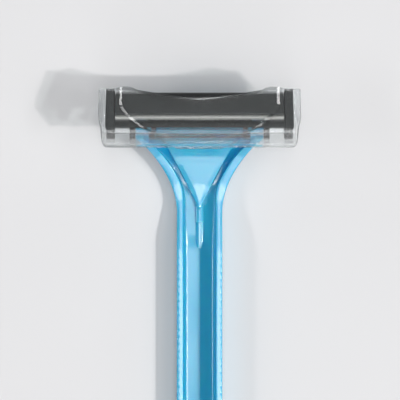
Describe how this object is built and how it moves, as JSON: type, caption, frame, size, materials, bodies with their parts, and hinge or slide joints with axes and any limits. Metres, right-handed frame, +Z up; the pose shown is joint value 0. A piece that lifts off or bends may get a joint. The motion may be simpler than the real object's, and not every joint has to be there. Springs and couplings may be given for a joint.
{
  "type": "disposable razor",
  "caption": "Fixed-head safety razor with a gutter-shaped handle, a forked neck, a black blade head and a clear pull-off cap",
  "frame": {"origin": "on the table, under the middle of the razor's overall box", "axes": "X runs across the head, +Y runs along the handle towards the head, +Z points up; the razor lies on its back with the shaving face up"},
  "size_m": [0.044, 0.1153, 0.02],
  "materials": {
    "handle_plastic": "injection-moulded light blue polystyrene, semi-gloss",
    "head_plastic": "injection-moulded black ABS, fine satin",
    "blade_steel": "ground and honed stainless strip",
    "clear_plastic": "clear injection-moulded polystyrene, glossy"
  },
  "bodies": {
    "razor": {"handle": "handle_plastic", "blade_seat": "head_plastic", "blade": "blade_steel", "top_cover": "head_plastic"},
    "cap": {"protective_cap": "clear_plastic"}
  },
  "joints": [
    {"name": "cap_pull_off", "type": "slide", "parent": "razor", "child": "cap", "axis": [0, 0.3746, 0.9272], "range_m": [0, 0.02]}
  ]
}
